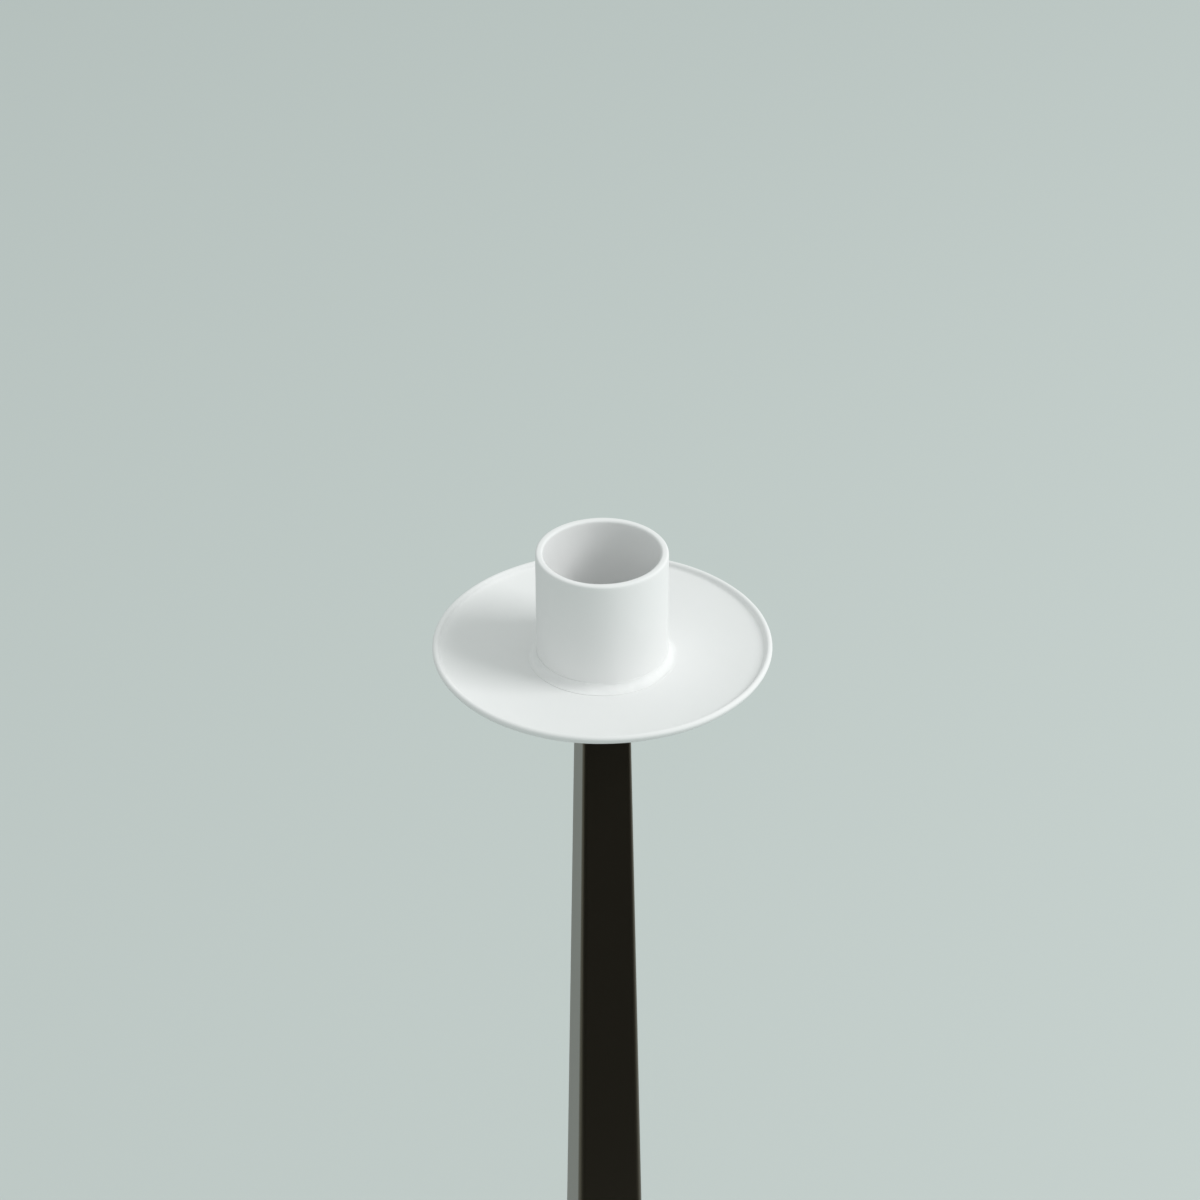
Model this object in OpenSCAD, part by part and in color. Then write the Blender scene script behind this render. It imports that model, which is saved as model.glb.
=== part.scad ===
// Single candle holder: an open candle cup on a shallow drip pan, carried by a slender square
// stem that widens steadily down to a low round base. Millimetres, +Z up. The origin is the
// centre of the underside, where the felt pad rests on the table.

/* [Candle cup] */
// Diameter of the bore that the candle stands in
cup_bore_d = 22.5; // [18:0.1:30]
// Thickness of the cup's wall
cup_wall = 1.45; // [1:0.05:3]
// Height of the cup above the floor of the drip pan
cup_h = 23.3; // [16:0.5:50]
// Thickness of the floor inside the cup
cup_floor_t = 3; // [2.9:0.1:6]
// Rounding of both edges of the cup's rim
cup_rim_r = 0.5; // [0.2:0.05:0.7]
// Radius of the hollow solder bead between cup and pan
bead_r = 1.6; // [0.8:0.1:3]

/* [Drip pan] */
// Outside diameter of the pan over its lip
pan_d = 65.5; // [54:1:100]
// Thickness of the sheet that the pan is spun from
pan_t = 1.2; // [0.8:0.05:1.6]
// Depth of the pan from the top of its lip to its floor
pan_depth = 2.95; // [2.4:0.05:8]
// Inside radius of the bend at the foot of the lip
lip_bend_r = 0.8; // [0.4:0.1:1.2]
// Slope of the lip at its rounded end, from level
lip_angle = 75; // [50:1:85]

/* [Stem] */
// Length of the stem from its foot to the shoulder that carries the pan
stem_l = 245; // [120:1:320]
// Width of the stem across its flats at the top
stem_top_w = 9.1; // [8.6:0.1:14]
// Width of the stem across its flats at the foot
stem_foot_w = 17.6; // [14:0.1:26]
// Corner radius of the stem at the top, which grows down the stem with its width
stem_corner_r = 1; // [0.4:0.1:2]
// Diameter of the spigot on top of the stem that centres the pan
spigot_d = 6.4; // [6:0.1:7.6]

/* [Base] */
// Diameter of the base over its rounded edge
base_d = 104; // [80:1:150]
// Height of the base at the level land around the stem
base_h = 10; // [9:0.5:20]
// Height of the rounded edge of the base
base_edge_h = 4; // [2:0.1:6]
// Width of the level land past the stem's flats
base_land_w = 3.5; // [1:0.1:8]
// Depth of the square pocket that holds the stem's foot
pocket_depth = 1.5; // [0.8:0.1:1.6]
// Thickness of the felt pad
felt_t = 1.5; // [1:0.1:3]
// Distance of the felt's edge inside the edge of the base
felt_inset = 3; // [2:0.5:8]

/* [Screws] */
// Thread diameter of the countersunk screw in the cup's floor
cup_screw_d = 4; // [3:0.5:4.5]
// Diameter of its countersunk head
cup_head_d = 7.5; // [6.5:0.1:8.5]
// Length of the cup screw with its head
cup_screw_l = 16; // [12:0.5:25]
// Thread diameter of the cheese-head screw under the base
base_screw_d = 6; // [4:0.5:8]
// Diameter of its cheese head
base_head_d = 10; // [9:0.1:13]
// Height of its cheese head
base_head_h = 3.9; // [2.5:0.1:4.2]
// Length of the base screw below its head
base_screw_l = 18; // [12:0.5:30]
// Width of the washer's ring past the screw's head
washer_overhang = 1.2; // [0.5:0.1:3]
// Thickness of the washer
washer_t = 1.2; // [0.8:0.1:1.6]
// Width of the driver slot in the cup screw
cup_slot_w = 1; // [0.6:0.1:1.4]
// Width of the driver slot in the base screw
base_slot_w = 1.6; // [0.8:0.1:2]

/* [Fits] */
// Radial clearance of a shank in a plain hole
hole_clearance = 0.25; // [0.1:0.05:0.5]
// Radial clearance left in place of a thread's flanks
thread_clearance = 0.05; // [0.02:0.01:0.1]
// Radial clearance of the spigot in the pan's hole
spigot_clearance = 0.1; // [0.05:0.05:0.3]
// Distance that the spigot stops below the floor of the pan, so that the screw can clamp it
spigot_gap = 0.25; // [0.1:0.05:0.5]
// Gap on each side of the stem's foot in its pocket
pocket_clearance = 0.15; // [0.05:0.05:0.4]
// Depth of a screw's head below the surface that it is let into
head_sink = 0.1; // [0.05:0.05:0.5]
// Free depth of a threaded hole past the end of its screw
tip_room = 2; // [1:0.5:5]

/* [Hidden] */

// A cut runs this far past the faces that it opens
past = 0.5;
// Sides of a round where it can't stay a true curve, and of the dome's wide one
$fn = 96;
wide_fn = 256;
// Straight steps round each corner of the stem, along the pan's wide arc, and along each
// tight bend of its lip
corner_steps = 8;
dish_steps = 16;
bend_steps = 10;

// Levels of the pieces, from the table up
base_z = felt_t;
land_z = base_z + base_h;
stem_z = land_z - pocket_depth;
shoulder_z = stem_z + stem_l;
pan_floor_z = shoulder_z + pan_t;
cup_floor_z = pan_floor_z + cup_floor_t;
cup_top_z = pan_floor_z + cup_h;

// Cup and bead
cup_bore_r = cup_bore_d / 2;
cup_outer_r = cup_bore_r + cup_wall;
rim_r = min(cup_rim_r, cup_wall * 0.45);
bead_edge = 0.1;
bead_side = bead_r + bead_edge;

// Pan: a level floor, a wide arc that leaves it level, and a tight bend that turns up the lip.
// The wide arc touches the bend from outside, which settles its radius.
pan_flat_r = cup_outer_r + bead_side;
lip_mid_r = lip_bend_r + pan_t / 2;
bend_r_from_axis = pan_d / 2 - pan_t / 2 - lip_mid_r * sin(lip_angle);
bend_height = pan_depth - pan_t / 2 + lip_mid_r * cos(lip_angle);
dish_run = bend_r_from_axis - pan_flat_r;
dish_r = (dish_run ^ 2 + bend_height ^ 2 - lip_bend_r ^ 2) / (2 * (bend_height - lip_bend_r));
dish_angle = asin(dish_run / (dish_r - lip_bend_r));

// Stem
taper = stem_top_w / stem_foot_w;
foot_corner_r = stem_corner_r / taper;
spigot_l = pan_t - spigot_gap;

// Base: a level land and a dome that falls along one arc to a half-round edge
base_r = base_d / 2;
edge_r = base_edge_h / 2;
land_r = stem_foot_w / 2 + base_land_w;
dome_run = base_r - edge_r - land_r;
dome_drop = base_h - base_edge_h;
dome_r = (dome_run ^ 2 + dome_drop ^ 2) / (2 * dome_drop);

// Cup screw: its 90 degree head lies in the cup's floor and its thread ends in the stem
cup_head_top_z = cup_floor_z - head_sink;
cup_head_h = (cup_head_d - cup_screw_d) / 2;
cup_slot_depth = cup_head_h * 0.5;
cup_screw_end_z = cup_head_top_z - cup_screw_l;
cup_head_r = cup_head_d / 2;

// Base screw: its head lies in the recess under the base, on a washer
washer_r = base_head_d / 2 + washer_overhang;
recess_room = 1;
recess_r = washer_r + recess_room;
recess_depth = washer_t + base_head_h + head_sink;
washer_z = base_z + recess_depth - washer_t;
base_screw_end_z = washer_z + base_screw_l;
base_slot_depth = base_head_h * 0.45;
tip_chamfer = 0.5;

brass_brown = "#4a4234";
brass_dark = "#393227";
brass_light = "#8d8168";
steel = "#9a9c98";
felt_green = "#2f3a2e";

// One stretch of a ring between two angles, measured from the level direction
module ring_stretch(inner_r, outer_r, from_angle, to_angle) {
    reach = outer_r * 2;
    mid_angle = (from_angle + to_angle) / 2;
    intersection() {
        difference() {
            circle(outer_r);
            circle(inner_r);
        }
        polygon([
            [0, 0],
            reach * [cos(from_angle), sin(from_angle)],
            reach * [cos(mid_angle), sin(mid_angle)],
            reach * [cos(to_angle), sin(to_angle)]
        ]);
    }
}

// The part of a round that lies on one side of a line through its centre
module half_round(r, facing) {
    intersection() {
        circle(r);
        rotate(facing) translate([0, -r - past]) square([r + past, 2 * (r + past)]);
    }
}

// A square with rounded corners, centred on the axis
module rounded_square(side, corner_r) {
    inner = side / 2 - corner_r;
    polygon([
        for (turn = [0:90:270], step = [0:corner_steps])
            let (angle = turn + 90 * step / corner_steps)
            inner * [cos(turn) - sin(turn), sin(turn) + cos(turn)]
                + corner_r * [cos(angle), sin(angle)]
    ]);
}

// The cup's wall and floor in section, on the right of the axis
module cup_section() {
    square([cup_outer_r, cup_floor_t]);
    translate([cup_bore_r, 0]) square([cup_wall, cup_h - rim_r]);
    translate([cup_bore_r + rim_r, cup_h - rim_r]) {
        square([cup_wall - 2 * rim_r, rim_r]);
        ring_stretch(0, rim_r, 90, 180);
        translate([cup_wall - 2 * rim_r, 0]) ring_stretch(0, rim_r, 0, 90);
    }
}

// Turned brass cup: a bore for the candle and a floor with a countersunk hole
module candle_cup() {
    color(brass_brown)
    difference() {
        translate([0, 0, pan_floor_z]) rotate_extrude() cup_section();
        translate([0, 0, pan_floor_z - past])
            cylinder(r = cup_screw_d / 2 + hole_clearance, h = cup_floor_t + 2 * past);
        translate([0, 0, cup_head_top_z - cup_head_h])
            cylinder(r1 = cup_screw_d / 2, r2 = cup_head_r, h = cup_head_h);
        translate([0, 0, cup_head_top_z])
            cylinder(r = cup_head_r, h = head_sink + past);
    }
}

// Bead of hard solder that runs round the foot of the cup, hollow in section
module solder_bead() {
    color(brass_light)
    translate([0, 0, pan_floor_z])
    rotate_extrude()
    translate([cup_outer_r, 0])
    difference() {
        square(bead_side);
        translate([bead_side, bead_side]) circle(bead_r);
    }
}

// Points along an arc, without its first one, which ends the stretch before it
function arc(centre, r, from_angle, to_angle, steps) = [
    for (i = [1:steps])
        let (angle = from_angle + (to_angle - from_angle) * i / steps)
        centre + r * [cos(angle), sin(angle)]
];

// The spun sheet in section: out along the underside, round the end of the lip and back inside
module pan_section() {
    hole_r = spigot_d / 2 + spigot_clearance;
    dish_centre = [pan_flat_r, pan_t + dish_r];
    bend_centre = [bend_r_from_axis, pan_t + bend_height];
    lip_end = bend_centre + lip_mid_r * [sin(lip_angle), -cos(lip_angle)];
    dish_way = dish_angle - 90;
    lip_way = lip_angle - 90;
    polygon(concat(
        [[hole_r, pan_t], [hole_r, 0], [pan_flat_r, 0]],
        arc(dish_centre, dish_r + pan_t, -90, dish_way, dish_steps),
        arc(bend_centre, lip_bend_r + pan_t, dish_way, lip_way, bend_steps),
        arc(lip_end, pan_t / 2, lip_way, lip_way + 180, bend_steps),
        arc(bend_centre, lip_bend_r, lip_way, dish_way, bend_steps),
        arc(dish_centre, dish_r, dish_way, -90, dish_steps)
    ));
}

// Shallow spun pan that catches the wax
module drip_pan() {
    color(brass_dark)
    translate([0, 0, shoulder_z]) rotate_extrude() pan_section();
}

// Slotted countersunk screw that clamps cup and pan to the stem
module cup_screw() {
    color(brass_light)
    difference() {
        union() {
            translate([0, 0, cup_head_top_z - cup_head_h])
                cylinder(r1 = cup_screw_d / 2, r2 = cup_head_r, h = cup_head_h);
            translate([0, 0, cup_screw_end_z + tip_chamfer])
                cylinder(d = cup_screw_d, h = cup_screw_l - cup_head_h - tip_chamfer);
            translate([0, 0, cup_screw_end_z])
                cylinder(r1 = cup_screw_d / 2 - tip_chamfer, r2 = cup_screw_d / 2, h = tip_chamfer);
        }
        translate([-cup_head_r - past, -cup_slot_w / 2, cup_head_top_z - cup_slot_depth])
            cube([2 * (cup_head_r + past), cup_slot_w, cup_slot_depth + past]);
    }
}

// Square bar with rounded corners, drawn in steadily from foot to shoulder, with a turned spigot
// on top and a threaded hole in each end
module stem() {
    cup_hole_z = cup_screw_end_z - tip_room;
    base_hole_top_z = base_screw_end_z + tip_room;
    color(brass_brown)
    difference() {
        union() {
            translate([0, 0, stem_z])
                linear_extrude(height = stem_l, scale = taper)
                rounded_square(stem_foot_w, foot_corner_r);
            translate([0, 0, shoulder_z - past])
                cylinder(d = spigot_d, h = spigot_l + past);
        }
        translate([0, 0, cup_hole_z])
            cylinder(r = cup_screw_d / 2 + thread_clearance, h = shoulder_z + spigot_l + past - cup_hole_z);
        translate([0, 0, stem_z - past])
            cylinder(r = base_screw_d / 2 + thread_clearance, h = base_hole_top_z - stem_z + past);
    }
}

// The base in section: land, dome and half-round edge
module base_section() {
    square([land_r, base_h]);
    intersection() {
        translate([land_r, 0]) square([dome_run, base_h]);
        translate([land_r, base_h - dome_r]) circle(dome_r, $fn = wide_fn);
    }
    translate([base_r - edge_r, edge_r]) half_round(edge_r, 0);
}

// Heavy turned base with a square pocket for the stem and a recess for the screw below
module base() {
    color(brass_dark)
    translate([0, 0, base_z])
    difference() {
        rotate_extrude() base_section();
        translate([0, 0, base_h - pocket_depth])
            linear_extrude(height = pocket_depth + past)
            rounded_square(stem_foot_w + 2 * pocket_clearance, foot_corner_r);
        translate([0, 0, -past])
            cylinder(r = recess_r, h = recess_depth + past);
        translate([0, 0, -past])
            cylinder(r = base_screw_d / 2 + hole_clearance, h = base_h + 2 * past);
    }
}

// Flat washer between the screw's head and the roof of the recess
module base_washer() {
    color(steel)
    translate([0, 0, washer_z])
    difference() {
        cylinder(r = washer_r, h = washer_t);
        translate([0, 0, -past])
            cylinder(r = base_screw_d / 2 + hole_clearance, h = washer_t + 2 * past);
    }
}

// Slotted cheese-head screw that draws the stem down into the base
module base_screw() {
    head_r = base_head_d / 2;
    head_z = washer_z - base_head_h;
    color(steel)
    difference() {
        union() {
            translate([0, 0, head_z])
                cylinder(r = head_r, h = base_head_h);
            translate([0, 0, washer_z])
                cylinder(d = base_screw_d, h = base_screw_l - tip_chamfer);
            translate([0, 0, base_screw_end_z - tip_chamfer])
                cylinder(r1 = base_screw_d / 2, r2 = base_screw_d / 2 - tip_chamfer, h = tip_chamfer);
        }
        translate([-head_r - past, -base_slot_w / 2, head_z - past])
            cube([2 * (head_r + past), base_slot_w, base_slot_depth + past]);
    }
}

// Felt disc glued over the whole underside
module felt_pad() {
    color(felt_green)
    cylinder(r = base_r - felt_inset, h = felt_t);
}

candle_cup();
solder_bead();
drip_pan();
cup_screw();
stem();
base();
base_washer();
base_screw();
felt_pad();
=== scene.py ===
# %% [markdown]
# # A candle holder in dark patinated brass
#
# The real thing is a turned candle cup, soldered on a shallow spun pan, on a slender square stem
# and a heavy round base. The imported model already has every piece at its true size and place.
# Here the pan, the cup and the solder bead get what makes them look real: softened edges and a
# hand-made unevenness.

# %% Load the imported model
import math

import bpy
from mathutils import Matrix, Vector


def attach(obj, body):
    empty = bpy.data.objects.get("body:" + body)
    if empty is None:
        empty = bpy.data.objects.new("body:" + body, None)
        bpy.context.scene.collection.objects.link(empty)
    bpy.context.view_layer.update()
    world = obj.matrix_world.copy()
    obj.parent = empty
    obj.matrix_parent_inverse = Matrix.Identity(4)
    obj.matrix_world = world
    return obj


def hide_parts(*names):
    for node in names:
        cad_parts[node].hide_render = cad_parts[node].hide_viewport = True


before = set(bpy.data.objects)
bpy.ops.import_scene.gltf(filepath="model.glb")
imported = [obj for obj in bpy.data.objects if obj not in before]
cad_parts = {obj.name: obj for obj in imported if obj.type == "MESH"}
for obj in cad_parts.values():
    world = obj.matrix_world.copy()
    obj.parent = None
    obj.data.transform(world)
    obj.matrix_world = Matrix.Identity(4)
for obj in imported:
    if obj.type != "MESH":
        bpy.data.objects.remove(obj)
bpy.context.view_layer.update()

# %% [markdown]
# ## The camera
#
# A camera is matched to a photograph by its angle, its distance and its focal length. Here it
# looks down at 33 degrees from a little left of the stem's front face, through a long lens, so
# that the stem hardly narrows towards the foot. The cup sits low in the picture's middle, and the
# stem runs out through the lower edge.

# %% Place the camera
MM = 0.001


def mm(*values):
    """A length or a point that is given in millimetres"""
    return values[0] * MM if len(values) == 1 else Vector(values) * MM


PICTURE_PX = 1200
FOCAL_PX = 3632
AIM_PX = (602.15, 646.47)
aim = mm(0, 0, 258)
azimuth, elevation, roll = (math.radians(angle) for angle in (-11.8, 33.2, -0.21))

bpy.ops.object.select_all(action="DESELECT")
bpy.ops.object.camera_add()
camera = bpy.context.object
turn = Matrix.Rotation(azimuth, 3, "Z") @ Matrix.Rotation(math.pi / 2 - elevation, 3, "X")
back = turn @ Vector((0, 0, 1))
half = PICTURE_PX / 2
turn @= Matrix.Rotation(math.atan((AIM_PX[0] - half) / FOCAL_PX), 3, "Y")
turn @= Matrix.Rotation(math.atan((AIM_PX[1] - half) / FOCAL_PX), 3, "X")
turn @= Matrix.Rotation(roll, 3, "Z")
camera.matrix_world = Matrix.Translation(aim + back * mm(700)) @ turn.to_4x4()
camera.data.sensor_width = 36
camera.data.lens = FOCAL_PX / PICTURE_PX * camera.data.sensor_width
bpy.context.scene.camera = camera
print("The lens is", round(camera.data.lens, 1), "mm long")

# %% [markdown]
# ## Colours and nodes
#
# A colour that is read off a screen is written in sRGB, as a hex value, and shaders work in linear
# light, so one function turns the first into the second. A second small function adds a node,
# sets it, and links whatever sockets it is given. It is enough for every material here.

# %% Colour and node helpers
def linear(hex_colour):
    """A linear colour, from its sRGB hex value"""
    parts = [int(hex_colour[i:i + 2], 16) / 255 for i in (1, 3, 5)]
    return [c / 12.92 if c < 0.04045 else ((c + 0.055) / 1.055) ** 2.4 for c in parts] + [1]


def add(tree, kind, inputs=None, **settings):
    """A new node with its settings. An input is a value, or a socket of another node to link."""
    node = tree.nodes.new(kind)
    for name, value in settings.items():
        setattr(node, name, value)
    for name, value in (inputs or {}).items():
        if isinstance(value, bpy.types.NodeSocket):
            tree.links.new(value, node.inputs[name])
        else:
            node.inputs[name].default_value = value
    return node


def new_material(name):
    """An empty material and its output node"""
    material = bpy.data.materials.new(name)
    material.use_nodes = True
    material.node_tree.nodes.clear()
    return material, add(material.node_tree, "ShaderNodeOutputMaterial")


# %% [markdown]
# ## The studio
#
# A dark glossy thing shows its surroundings more than its own colour. The room is a pale floor
# that runs back out of sight, and a soft world. Behind the holder all of it is pale, and that pale
# light lies on the pan and on the flank of the stem. In front is the dark side of the studio,
# which the cup and the stem's front face mirror, so they stay brown-black. The floor's dark side
# The floor's dark side is painted shade: its front is painted dark for reflections only, and the
# camera sees it pale.

# %% Floor
PALE = linear("#c6cdcb")
DARK_SIDE = 0.03


def front_share(tree, vector, first, last):
    """0 behind the holder and 1 in front of it, along the world's Y"""
    split = add(tree, "ShaderNodeSeparateXYZ", {"Vector": vector})
    return add(tree, "ShaderNodeMapRange", {
        "Value": split.outputs["Y"], "From Min": first, "From Max": last, "To Min": 0, "To Max": 1,
    }, interpolation_type="SMOOTHSTEP").outputs["Result"]


bpy.ops.mesh.primitive_plane_add(size=8, location=(0, 0, -0.0002))
floor = bpy.context.object
floor.name = "floor"
material, output = new_material("pale paper floor")
tree = material.node_tree
place = add(tree, "ShaderNodeTexCoord").outputs["Object"]
light_path = add(tree, "ShaderNodeLightPath")
# Painted shade: in reflections, the floor in front of the holder turns dark.
dark = add(tree, "ShaderNodeMath", {
    0: front_share(tree, place, 0.02, -0.15), 1: light_path.outputs["Is Glossy Ray"],
}, operation="MULTIPLY")
paper = add(tree, "ShaderNodeBsdfDiffuse", {"Color": PALE})
shade = add(tree, "ShaderNodeBsdfDiffuse", {"Color": [c * DARK_SIDE for c in PALE[:3]] + [1]})
mixed = add(tree, "ShaderNodeMixShader", {
    0: dark.outputs["Value"], 1: paper.outputs["BSDF"], 2: shade.outputs["BSDF"],
})
tree.links.new(mixed.outputs["Shader"], output.inputs["Surface"])
floor.data.materials.append(material)

# %% World
world = bpy.data.worlds.new("studio")
bpy.context.scene.world = world
world.use_nodes = True
tree = world.node_tree
tree.nodes.clear()
direction = add(tree, "ShaderNodeTexCoord").outputs["Generated"]
light_path = add(tree, "ShaderNodeLightPath")
seen = add(tree, "ShaderNodeMath", {
    0: light_path.outputs["Is Glossy Ray"], 1: front_share(tree, direction, 0.1, -0.4),
}, operation="MULTIPLY")
BACKDROP = linear("#bac1bf")
pale = add(tree, "ShaderNodeBackground", {"Color": BACKDROP, "Strength": 1})
gloom = add(tree, "ShaderNodeBackground", {"Color": BACKDROP, "Strength": DARK_SIDE})
reflected = add(tree, "ShaderNodeMixShader", {
    0: seen.outputs["Value"], 1: pale.outputs["Background"], 2: gloom.outputs["Background"],
})
fill = add(tree, "ShaderNodeBackground", {"Color": [0.94, 1, 0.98, 1], "Strength": 0.7})
diffuse = add(tree, "ShaderNodeMixShader", {
    0: light_path.outputs["Is Diffuse Ray"], 1: reflected.outputs["Shader"],
    2: fill.outputs["Background"],
})
output = add(tree, "ShaderNodeOutputWorld", {"Surface": diffuse.outputs["Shader"]})

# %% [markdown]
# One soft lamp stands for a window. It is to the right of the camera and 40 degrees up, where it
# catches the far left of the rim, the right of the solder bead and the lip of the pan.

# %% Window light
bpy.ops.object.light_add(type="AREA")
window = bpy.context.object
window.name = "window"
window.data.shape = "RECTANGLE"
window.data.size, window.data.size_y = 0.9, 0.9
window.data.energy = 22
window_side = azimuth + math.radians(80)
window_up = math.radians(40)
towards = Vector((math.sin(window_side) * math.cos(window_up),
                  -math.cos(window_side) * math.cos(window_up), math.sin(window_up)))
window.matrix_world = (Matrix.Translation(aim + towards * 2)
                       @ towards.to_track_quat("Z", "Y").to_matrix().to_4x4())

scene = bpy.context.scene
scene.view_settings.view_transform = "Standard"

# %% [markdown]
# ## Tools of the lathe
#
# Four of the pieces are round, and were turned or spun. The same way works here: one vertex is
# drawn along half of the section with extrude and spin, and the outline is then spun once round
# the upright axis. Every radius is where the drawing has it, and the wall gets its true thickness.

# %% Outline helpers
def start_outline(name, r, z):
    """A single vertex in the XZ plane, merged from a small plane, where an outline starts"""
    bpy.ops.object.select_all(action="DESELECT")
    bpy.ops.mesh.primitive_plane_add(size=MM, location=mm(r, 0, z))
    piece = bpy.context.object
    piece.name = piece.data.name = name
    bpy.ops.object.transform_apply()
    bpy.ops.object.mode_set(mode="EDIT")
    bpy.ops.mesh.merge(type="CENTER")
    return piece


def line_to(r, z):
    """Extrudes the last vertex of the outline to a point"""
    piece = bpy.context.object
    piece.update_from_editmode()
    here = next(v.co for v in piece.data.vertices if v.select)
    bpy.ops.mesh.extrude_region_move(TRANSFORM_OT_translate={"value": mm(r, 0, z) - here})


def arc_round(r, z, degrees, steps):
    """Spins the last vertex round a centre, anticlockwise as seen from the front"""
    bpy.ops.mesh.spin(steps=steps, angle=math.radians(degrees), center=mm(r, 0, z), axis=(0, 1, 0))


def select_in_outline(piece, test):
    """Selects the vertices that pass a test on their radius and height in millimetres"""
    bpy.ops.mesh.select_all(action="DESELECT")
    bpy.ops.object.mode_set(mode="OBJECT")
    for vertex in piece.data.vertices:
        vertex.select = test(vertex.co.x / MM, vertex.co.z / MM)
    bpy.ops.object.mode_set(mode="EDIT")


def merge_all():
    bpy.ops.mesh.select_all(action="SELECT")
    bpy.ops.mesh.remove_doubles(threshold=mm(0.002))


def turn_outline(piece, steps, smooth=40):
    """Spins the closed outline once round the axis into a solid, and shades it smooth"""
    merge_all()
    bpy.ops.mesh.spin(steps=steps, angle=2 * math.pi, center=(0, 0, 0), axis=(0, 0, 1),
                      use_auto_merge=True)
    merge_all()
    bpy.ops.mesh.normals_make_consistent(inside=False)
    bpy.ops.object.mode_set(mode="OBJECT")
    bpy.ops.object.shade_smooth_by_angle(angle=math.radians(smooth))
    print(piece.name, "has", len(piece.data.polygons), "faces")


# %% [markdown]
# Nothing made by hand is perfectly even. A displacement by a soft cloud pattern of a chosen size
# moves the surface by a few hundredths of a millimetre. That is too little to see as a shape, but
# reflections in the gloss waver with it, and they are what the eye reads. A vertex group holds the
# movement back where pieces meet.

# %% Unevenness helper
def make_uneven(piece, size, depth, weight=None, direction="NORMAL"):
    """Displaces a piece by clouds of a size, by up to half the depth each way, all in millimetres"""
    clouds = bpy.data.textures.new(piece.name + "_clouds", "CLOUDS")
    clouds.noise_scale = mm(size)
    change = piece.modifiers.new("uneven", "DISPLACE")
    change.texture = clouds
    change.texture_coords = "LOCAL"
    change.strength = mm(depth)
    change.direction = direction
    if weight:
        group = piece.vertex_groups.new(name="free")
        for vertex in piece.data.vertices:
            group.add([vertex.index], weight(vertex.co / MM), "REPLACE")
        change.vertex_group = group.name
    bpy.context.view_layer.objects.active = piece
    bpy.ops.object.modifier_apply(modifier=change.name)
    piece.vertex_groups.clear()


# %% [markdown]
# ## The drip pan
#
# The pan is spun from 1.2 mm sheet over a wooden form: a level floor, a wide shallow arc, and a
# tight bend that turns up the lip. Each of these is one spin of the outline's vertex round the
# centre of its arc, out along the underside, round the end of the lip, and back along the inside.

# %% Spin the pan
PAN_D, PAN_T, PAN_DEPTH = 65.5, 1.2, 2.95
BEND_R, LIP_ANGLE = 0.8, 75
CUP_R, BEAD = 12.7, 1.7
SHOULDER_Z = 255
PAN_FLOOR_Z = SHOULDER_Z + PAN_T

flat_r = CUP_R + BEAD
lip_mid_r = BEND_R + PAN_T / 2
lip = math.radians(LIP_ANGLE)
bend_r = PAN_D / 2 - PAN_T / 2 - lip_mid_r * math.sin(lip)
bend_up = PAN_DEPTH - PAN_T / 2 + lip_mid_r * math.cos(lip)
run = bend_r - flat_r
dish_r = (run ** 2 + bend_up ** 2 - BEND_R ** 2) / (2 * (bend_up - BEND_R))
dish_angle = math.degrees(math.asin(run / (dish_r - BEND_R)))
dish_centre = (flat_r, PAN_FLOOR_Z + dish_r)
bend_centre = (bend_r, PAN_FLOOR_Z + bend_up)
lip_end = (bend_r + lip_mid_r * math.sin(lip), PAN_FLOOR_Z + bend_up - lip_mid_r * math.cos(lip))

pan = start_outline("spun_pan", 3.3, SHOULDER_Z)
line_to(flat_r, SHOULDER_Z)
arc_round(*dish_centre, dish_angle, 24)
arc_round(*bend_centre, LIP_ANGLE - dish_angle, 12)
arc_round(*lip_end, 180, 12)
arc_round(*bend_centre, dish_angle - LIP_ANGLE, 12)
arc_round(*dish_centre, -dish_angle, 24)
line_to(3.3, PAN_FLOOR_Z)
line_to(3.3, SHOULDER_Z)
turn_outline(pan, 240)

# %% Let the pan waver
def past_the_bead(point):
    """0 under the cup and bead, rising to 1 in the dish"""
    return min(1, max(0, (point.xy.length - 16) / 6))


make_uneven(pan, 22, 0.3, past_the_bead, "Z")
make_uneven(pan, 6, 0.05, past_the_bead, "Z")
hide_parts("drip_pan")

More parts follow.
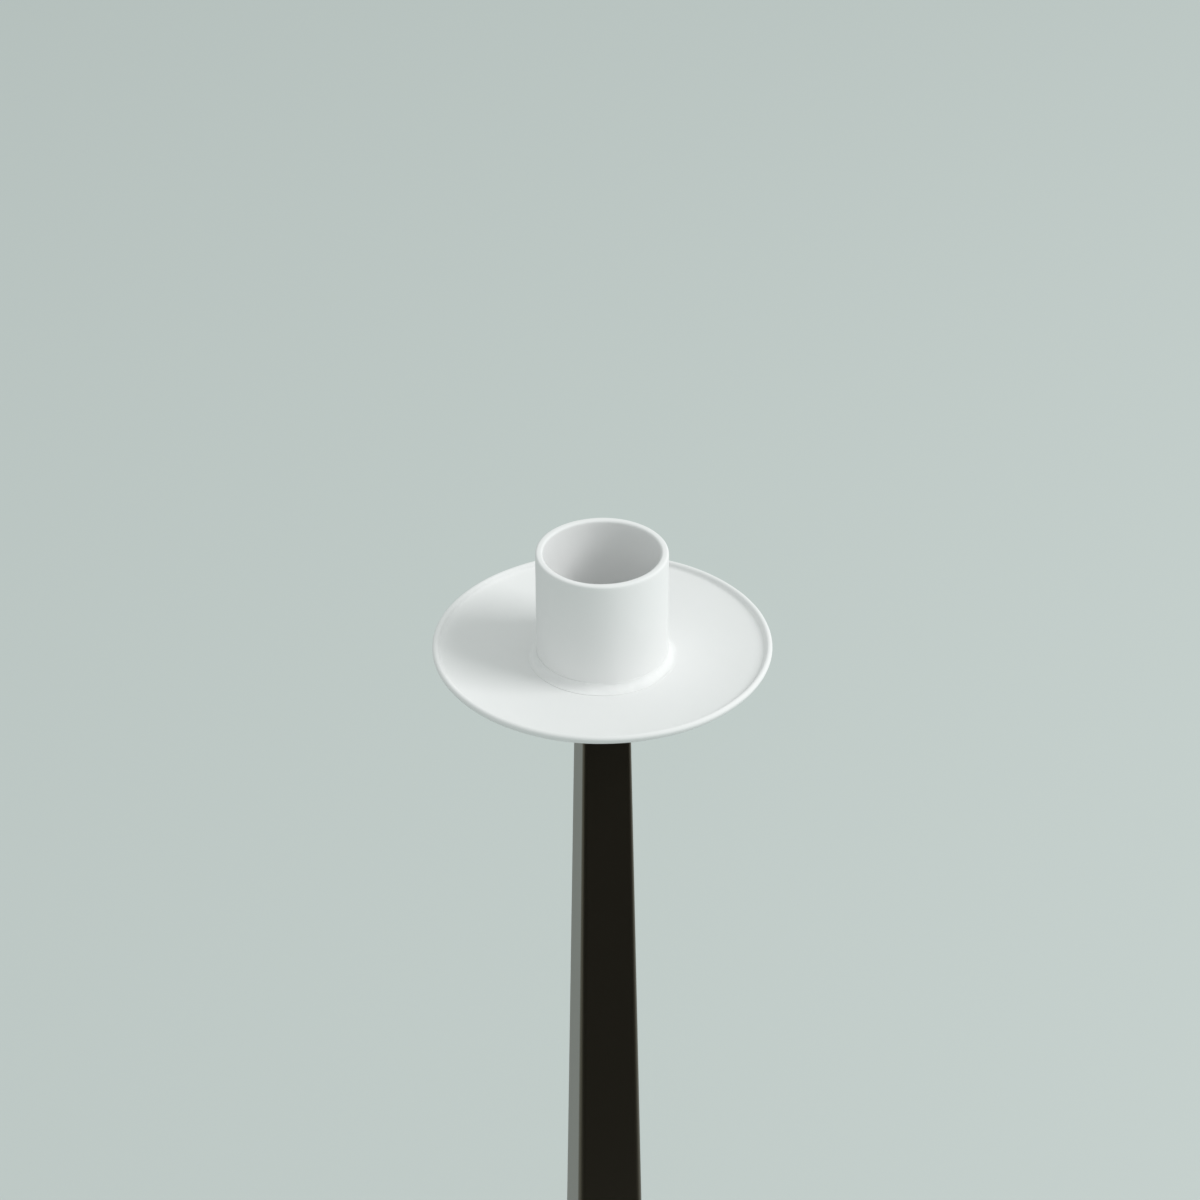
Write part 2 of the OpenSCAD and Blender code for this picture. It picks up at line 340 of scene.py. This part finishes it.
# %% [markdown]
# ## The candle cup
#
# The cup is turned from bar: one straight outline of its wall and floor. The corners of the rim
# are rounded with a vertex bevel while it is still an outline, which is the easiest time.

# %% Turn the cup
CUP_BORE_R = 11.25
CUP_TOP_Z = PAN_FLOOR_Z + 23.3
CUP_FLOOR_Z = PAN_FLOOR_Z + 3

cup = start_outline("turned_cup", 2.25, PAN_FLOOR_Z)
for r, z in [(CUP_R, PAN_FLOOR_Z), (CUP_R, CUP_TOP_Z), (CUP_BORE_R, CUP_TOP_Z),
             (CUP_BORE_R, CUP_FLOOR_Z), (3.75, CUP_FLOOR_Z), (3.75, CUP_FLOOR_Z - 0.1),
             (2.25, CUP_FLOOR_Z - 1.6), (2.25, PAN_FLOOR_Z)]:
    line_to(r, z)
merge_all()
select_in_outline(cup, lambda r, z: z > CUP_TOP_Z - 0.01)
bpy.ops.mesh.bevel(offset=mm(0.5), segments=6, affect="VERTICES")
select_in_outline(cup, lambda r, z: r > CUP_BORE_R - 0.01 and z < CUP_TOP_Z - 0.45)
bpy.ops.mesh.subdivide(number_cuts=20)
turn_outline(cup, 192)

# %% Let the cup waver
make_uneven(cup, 9, 0.12)
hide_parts("candle_cup")

# %% [markdown]
# ## The solder bead
#
# Hard solder was run round the foot of the cup. It draws up into a hollow fillet, and never quite
# evenly, so this ring gets stronger clouds than the turned parts.

# %% Run the bead
bead = start_outline("solder_fillet", CUP_R - 0.15, PAN_FLOOR_Z - 0.1)
line_to(flat_r, PAN_FLOOR_Z - 0.1)
line_to(flat_r, PAN_FLOOR_Z + 0.1)
arc_round(flat_r, PAN_FLOOR_Z + BEAD, -90, 12)
line_to(CUP_R - 0.15, PAN_FLOOR_Z + BEAD)
line_to(CUP_R - 0.15, PAN_FLOOR_Z - 0.1)
turn_outline(bead, 240)
make_uneven(bead, 4, 0.4, lambda p: 1 if p.z > PAN_FLOOR_Z + 0.15 and p.xy.length > CUP_R else 0)
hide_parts("solder_bead")

# %% Ride on the root body, keeping size and place
for piece in (pan, cup, bead):
    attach(piece, "root")
